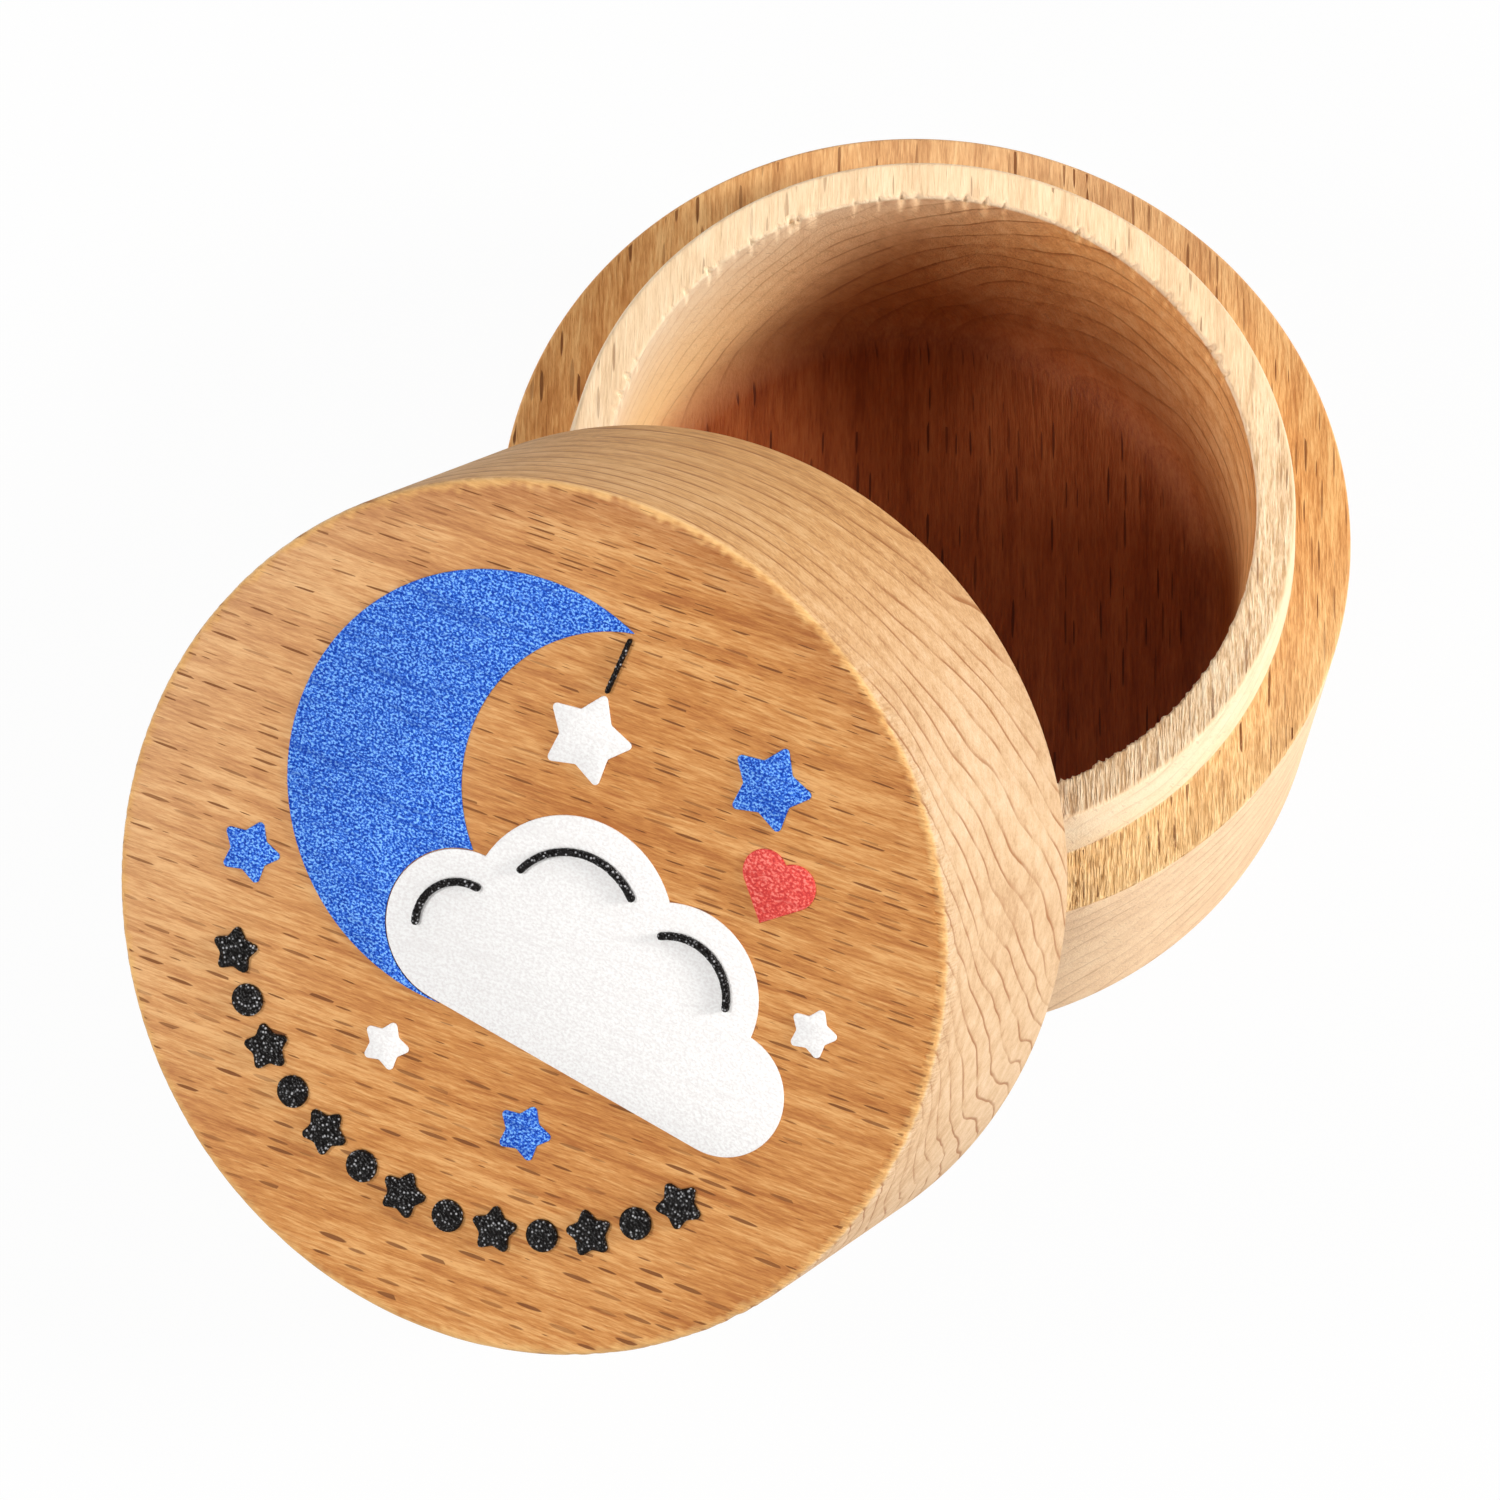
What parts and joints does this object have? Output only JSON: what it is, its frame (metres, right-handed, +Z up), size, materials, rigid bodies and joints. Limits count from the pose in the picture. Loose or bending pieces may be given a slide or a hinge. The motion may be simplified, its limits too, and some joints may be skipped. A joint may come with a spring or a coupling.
{
  "type": "baby tooth box",
  "caption": "Round turned wooden keepsake box with a spigoted base cup and a loose cap lid, printed on top, shown open with the lid leaning on the base.",
  "frame": {"origin": "centre of the base cup's underside, on the surface the box stands on", "axes": "+Z up along the base cup's axis; the lid that is taken off leans on the base on its -Y side, which is the front; +X to the right seen from the front"},
  "size_m": [0.05, 0.0816, 0.047],
  "materials": {
    "base_beech": "unfinished, fine sanded",
    "lid_beech": "unfinished, fine sanded",
    "blue_ink": "satin printed ink",
    "white_ink": "satin printed ink",
    "black_ink": "thick glossy pebbled ink",
    "red_ink": "satin printed ink"
  },
  "bodies": {
    "base": {"base_cup": "base_beech"},
    "lid": {"lid_cap": "lid_beech", "cloud_crest_1_black": "black_ink", "cloud_crest_2_black": "black_ink", "cloud_crest_3_black": "black_ink", "cloud_white": "white_ink", "garland_01_star_black": "black_ink", "garland_02_dot_black": "black_ink", "garland_03_star_black": "black_ink", "garland_04_dot_black": "black_ink", "garland_05_star_black": "black_ink", "garland_06_dot_black": "black_ink", "garland_07_star_black": "black_ink", "garland_08_dot_black": "black_ink", "garland_09_star_black": "black_ink", "garland_10_dot_black": "black_ink", "garland_11_star_black": "black_ink", "garland_12_dot_black": "black_ink", "garland_13_star_black": "black_ink", "hanging_star_white": "white_ink", "hanging_thread_black": "black_ink", "heart_red": "red_ink", "lower_star_blue": "blue_ink", "lower_star_white": "white_ink", "moon_blue": "blue_ink", "side_star_blue": "blue_ink", "side_star_white": "white_ink", "upper_star_blue": "blue_ink"}
  },
  "joints": [
    {"name": "lid_lift", "type": "slide", "parent": "base", "child": "lid", "axis": [0, -0.6225, 0.7826], "range_m": [0, 0.03]}
  ]
}
